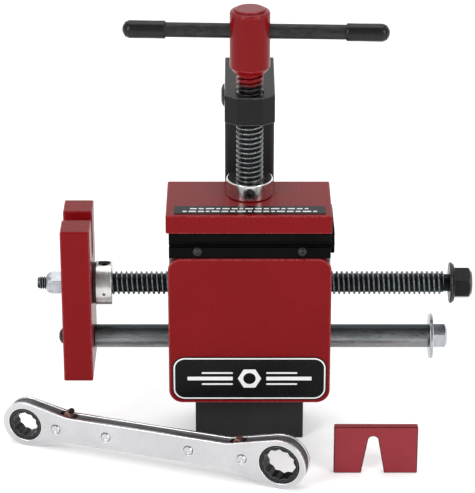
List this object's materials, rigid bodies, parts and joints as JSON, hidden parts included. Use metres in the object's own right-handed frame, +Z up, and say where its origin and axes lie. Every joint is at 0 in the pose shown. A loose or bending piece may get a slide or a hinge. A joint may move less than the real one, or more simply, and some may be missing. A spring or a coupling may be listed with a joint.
{
  "type": "golf shaft puller",
  "caption": "Vise-mounted golf shaft puller: a screw-down padded jaw grips the shaft and a screw-driven forked yoke pushes the head off; with ratchet wrench and slotted plate.",
  "frame": {"origin": "centre of the bottom face of the tang that the vise holds", "axes": "+X along the drive screw towards its hex head, -Y towards the front plate, +Z up along the clamp screw"},
  "size_m": [0.397, 0.2117, 0.3752],
  "materials": {
    "red_paint": "dark red semi-gloss paint",
    "black_paint": "satin black paint",
    "black_oxide": "oiled black oxide",
    "machined_steel": "turned or milled bare steel",
    "dark_steel": "dull grey drawn steel",
    "zinc": "bright zinc plate",
    "chrome": "satin chrome plate",
    "bronze": "machined bearing bronze",
    "pawl_brown": "heat-browned steel",
    "rubber": "matt black rubber",
    "black_plastic": "matt black plastic",
    "label_film": "glossy black printed film with a thin white border"
  },
  "bodies": {
    "frame": {"main_block": "machined_steel", "drive_nut": "bronze", "drive_bush": "bronze", "rod_bush_left": "bronze", "rod_bush_right": "bronze", "base_tang": "black_paint", "front_plate": "red_paint", "front_label": "label_film", "column_tube": "black_paint", "column_cap": "black_plastic", "top_bar": "black_paint", "bar_lock_bolt": "black_oxide", "bar_screw": "black_oxide", "lower_tray": "black_paint", "lower_pad": "rubber", "tray_screw_left": "black_oxide", "tray_screw_right": "black_oxide"},
    "jaw": {"upper_jaw": "red_paint", "upper_carrier": "black_paint", "upper_pad": "rubber", "jaw_label": "label_film"},
    "clamp_screw": {"clamp_screw": "black_oxide", "tip_retainer": "machined_steel", "clamp_collar": "machined_steel", "collar_set_screw": "black_oxide", "clamp_knob": "red_paint", "knob_plug": "red_paint"},
    "handle": {"handle_bar": "black_oxide", "handle_cap_left": "rubber", "handle_cap_right": "rubber"},
    "yoke": {"yoke": "red_paint", "yoke_bush": "bronze", "guide_rod": "dark_steel", "rod_button_screw": "black_oxide", "rod_stop_washer": "zinc", "rod_stop_bolt": "zinc"},
    "drive_screw": {"drive_screw": "black_oxide", "thrust_washer": "black_oxide", "drive_collar": "machined_steel", "drive_collar_screw": "black_oxide", "lock_nut": "zinc", "drive_head": "black_oxide"},
    "wrench": {"wrench_side_front": "chrome", "wrench_side_back": "chrome", "wrench_core": "dark_steel", "wrench_rivet_1": "chrome", "wrench_rivet_2": "chrome", "wrench_rivet_3": "chrome", "wrench_rivet_4": "chrome"},
    "small_ring": {"ring_small": "black_oxide"},
    "large_ring": {"ring_large": "black_oxide"},
    "small_pawl": {"pawl_small": "pawl_brown"},
    "large_pawl": {"pawl_large": "pawl_brown"},
    "adapter": {"adapter_plate": "red_paint"}
  },
  "joints": [
    {"name": "jaw_travel", "type": "slide", "parent": "frame", "child": "jaw", "axis": [0, 0, 1], "range_m": [0, 0.05]},
    {"name": "clamp_screw_turn", "type": "hinge", "parent": "jaw", "child": "clamp_screw", "pos_m": [0, 0.007, 0.3], "axis": [0, 0, 1], "range_deg": [0, 4250]},
    {"name": "handle_slide", "type": "slide", "parent": "clamp_screw", "child": "handle", "axis": [0.999, -0.0436, 0], "range_m": [-0.061, 0.0515]},
    {"name": "yoke_travel", "type": "slide", "parent": "frame", "child": "yoke", "axis": [-1, 0, 0], "range_m": [-0.048, 0.086]},
    {"name": "drive_screw_turn", "type": "hinge", "parent": "yoke", "child": "drive_screw", "pos_m": [0, 0.007, 0.1315], "axis": [-1, 0, 0], "range_deg": [-4090, 7325]},
    {"name": "wrench_lift", "type": "slide", "parent": "frame", "child": "wrench", "axis": [0, 0, 1], "range_m": [0, 0.12]},
    {"name": "small_ring_turn", "type": "hinge", "parent": "wrench", "child": "small_ring", "pos_m": [-0.18779, -0.03262, 0.0203], "axis": [0.3267, 0.9451, 0], "continuous": true},
    {"name": "large_ring_turn", "type": "hinge", "parent": "wrench", "child": "large_ring", "pos_m": [0.02617, -0.10659, 0.0226], "axis": [0.3267, 0.9451, 0], "continuous": true},
    {"name": "small_pawl_tip", "type": "hinge", "parent": "wrench", "child": "small_pawl", "pos_m": [-0.15247, -0.04483, 0.03268], "axis": [0.3267, 0.9451, 0], "range_deg": [-8, 8]},
    {"name": "large_pawl_tip", "type": "hinge", "parent": "wrench", "child": "large_pawl", "pos_m": [-0.00939, -0.0943, 0.03422], "axis": [0.3267, 0.9451, 0], "range_deg": [-8, 8]},
    {"name": "adapter_lift", "type": "slide", "parent": "frame", "child": "adapter", "axis": [0, 0, 1], "range_m": [0, 0.1]}
  ],
  "couplings": [
    {"joint": "jaw_travel", "follows": "clamp_screw_turn", "m_per_rad": 0.00067376},
    {"joint": "drive_screw_turn", "follows": "yoke_travel", "rad_per_m": 1484.2}
  ]
}
